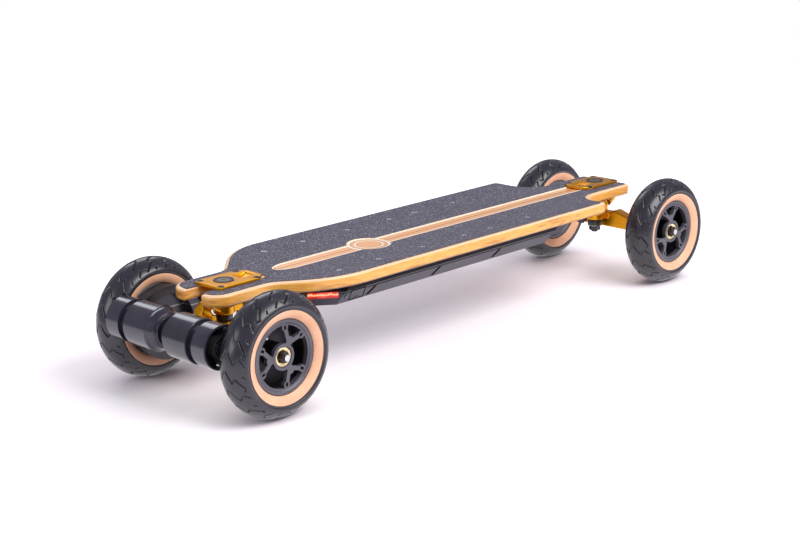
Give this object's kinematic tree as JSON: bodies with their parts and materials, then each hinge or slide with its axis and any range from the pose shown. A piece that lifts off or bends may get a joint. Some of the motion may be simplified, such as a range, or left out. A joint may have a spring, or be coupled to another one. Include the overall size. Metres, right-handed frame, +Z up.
{
  "type": "electric mountainboard",
  "caption": "Concave bamboo deck on double-pivot trucks with pneumatic tyres, two belt-drive motors and a battery enclosure under the deck.",
  "frame": {"origin": "on the floor under the middle of the whole board", "axes": "+X to the front of the board, +Y to the left of a rider who faces the front, +Z up"},
  "size_m": [1.0724, 0.3214, 0.175],
  "materials": {
    "bamboo": "clear satin lacquer over bamboo plies",
    "grip": "coarse silicon-carbide grip sheet",
    "case_plastic": "moulded, fine satin texture",
    "seal_rubber": "matt moulded rubber",
    "zinc_steel": "bright zinc plated",
    "cell_wrap": "heat-shrink sleeve",
    "fin_alloy": "plain extruded",
    "port_metal": "nickel plated",
    "red_lens": "clear red moulded lens",
    "gold_alloy": "forged, bead blasted and gold anodised",
    "black_alloy": "machined, satin black anodised",
    "black_steel": "black oxide",
    "urethane": "cast urethane",
    "cup_urethane": "cast urethane",
    "tyre_rubber": "moulded rubber with a tan inner side wall",
    "tube_rubber": "butyl rubber",
    "rim_alloy": "satin dark grey powder coat",
    "bearing_steel": "ground and shielded",
    "brass_plate": "yellow passivated",
    "motor_black": "satin black anodised",
    "belt_rubber": "moulded neoprene"
  },
  "bodies": {
    "board": {"deck": "bamboo", "grip_tape": "grip", "enclosure": "case_plastic", "enclosure_gasket": "seal_rubber", "enclosure_screws": "black_steel", "battery_pack": "cell_wrap", "motor_controller": "fin_alloy", "charge_port": "port_metal", "tail_lights": "red_lens", "front_truck_base": "gold_alloy", "rear_truck_base": "gold_alloy", "base_screws": "black_steel", "base_caps": "black_alloy", "upper_kingpins": "black_steel", "front_upper_bushings": "urethane", "rear_upper_bushings": "urethane", "upper_pivot_cups": "cup_urethane"},
    "port_cover": {"port_cover": "seal_rubber"},
    "power_button": {"power_button": "black_alloy"},
    "front_link": {"front_link": "gold_alloy", "front_lower_kingpin": "black_steel", "front_lower_bushings": "urethane", "front_lower_pivot_cup": "cup_urethane"},
    "front_hanger": {"front_hanger": "gold_alloy", "front_axle": "zinc_steel", "front_axle_nuts": "brass_plate"},
    "front_left_wheel": {"front_left_tyre": "tyre_rubber", "front_left_inner_tube": "tube_rubber", "front_left_rim": "rim_alloy", "front_left_bearings": "bearing_steel"},
    "front_right_wheel": {"front_right_tyre": "tyre_rubber", "front_right_inner_tube": "tube_rubber", "front_right_rim": "rim_alloy", "front_right_bearings": "bearing_steel"},
    "rear_link": {"rear_link": "gold_alloy", "rear_lower_kingpin": "black_steel", "rear_lower_bushings": "urethane", "rear_lower_pivot_cup": "cup_urethane"},
    "rear_hanger": {"rear_hanger": "gold_alloy", "rear_axle": "zinc_steel", "rear_axle_nuts": "brass_plate", "left_motor": "motor_black", "left_motor_mount": "black_alloy", "left_belt": "belt_rubber", "right_motor": "motor_black", "right_motor_mount": "black_alloy", "right_belt": "belt_rubber"},
    "rear_left_wheel": {"rear_left_tyre": "tyre_rubber", "rear_left_inner_tube": "tube_rubber", "rear_left_rim": "rim_alloy", "rear_left_bearings": "bearing_steel", "rear_left_wheel_pulley": "black_alloy"},
    "rear_right_wheel": {"rear_right_tyre": "tyre_rubber", "rear_right_inner_tube": "tube_rubber", "rear_right_rim": "rim_alloy", "rear_right_bearings": "bearing_steel", "rear_right_wheel_pulley": "black_alloy"},
    "left_motor_pulley": {"left_motor_pulley": "zinc_steel"},
    "right_motor_pulley": {"right_motor_pulley": "zinc_steel"}
  },
  "joints": [
    {"name": "front_upper_pivot", "type": "hinge", "parent": "board", "child": "front_link", "pos_m": [0.38475, 0, 0.12], "axis": [0.848, 0, 0.5299], "range_deg": [-12, 12], "stiffness_Nm_per_rad": 60, "deforming": ["front_upper_bushings"]},
    {"name": "front_lower_pivot", "type": "hinge", "parent": "front_link", "child": "front_hanger", "pos_m": [0.42175, 0, 0.098], "axis": [0.848, 0, 0.5299], "range_deg": [-12, 12], "stiffness_Nm_per_rad": 60, "deforming": ["front_lower_bushings"]},
    {"name": "rear_upper_pivot", "type": "hinge", "parent": "board", "child": "rear_link", "pos_m": [-0.37425, 0, 0.12], "axis": [-0.848, 0, 0.5299], "range_deg": [-12, 12], "stiffness_Nm_per_rad": 60, "deforming": ["rear_upper_bushings"]},
    {"name": "rear_lower_pivot", "type": "hinge", "parent": "rear_link", "child": "rear_hanger", "pos_m": [-0.41125, 0, 0.098], "axis": [-0.848, 0, 0.5299], "range_deg": [-12, 12], "stiffness_Nm_per_rad": 60, "deforming": ["rear_lower_bushings"]},
    {"name": "front_left_wheel_spin", "type": "hinge", "parent": "front_hanger", "child": "front_left_wheel", "pos_m": [0.44875, 0.1248, 0.0875], "axis": [0, 1, 0], "continuous": true},
    {"name": "front_right_wheel_spin", "type": "hinge", "parent": "front_hanger", "child": "front_right_wheel", "pos_m": [0.44875, -0.1248, 0.0875], "axis": [0, 1, 0], "continuous": true},
    {"name": "rear_left_wheel_spin", "type": "hinge", "parent": "rear_hanger", "child": "rear_left_wheel", "pos_m": [-0.43825, 0.134, 0.0875], "axis": [0, 1, 0], "continuous": true},
    {"name": "rear_right_wheel_spin", "type": "hinge", "parent": "rear_hanger", "child": "rear_right_wheel", "pos_m": [-0.43825, -0.134, 0.0875], "axis": [0, 1, 0], "continuous": true},
    {"name": "left_motor_spin", "type": "hinge", "parent": "rear_hanger", "child": "left_motor_pulley", "pos_m": [-0.50475, 0.096, 0.107], "axis": [0, 1, 0], "continuous": true},
    {"name": "right_motor_spin", "type": "hinge", "parent": "rear_hanger", "child": "right_motor_pulley", "pos_m": [-0.50475, -0.096, 0.107], "axis": [0, 1, 0], "continuous": true},
    {"name": "port_cover_hinge", "type": "hinge", "parent": "board", "child": "port_cover", "pos_m": [-0.23873, -0.09007, 0.12667], "axis": [-1, 0, 0], "range_deg": [0, 100]},
    {"name": "power_button_press", "type": "slide", "parent": "board", "child": "power_button", "axis": [0, 0.8978, 0.4404], "range_m": [0, 0.0015], "stiffness_N_per_m": 400}
  ],
  "couplings": [
    {"joint": "left_motor_spin", "follows": "rear_left_wheel_spin", "ratio": 4.2667},
    {"joint": "right_motor_spin", "follows": "rear_right_wheel_spin", "ratio": 4.2667}
  ]
}
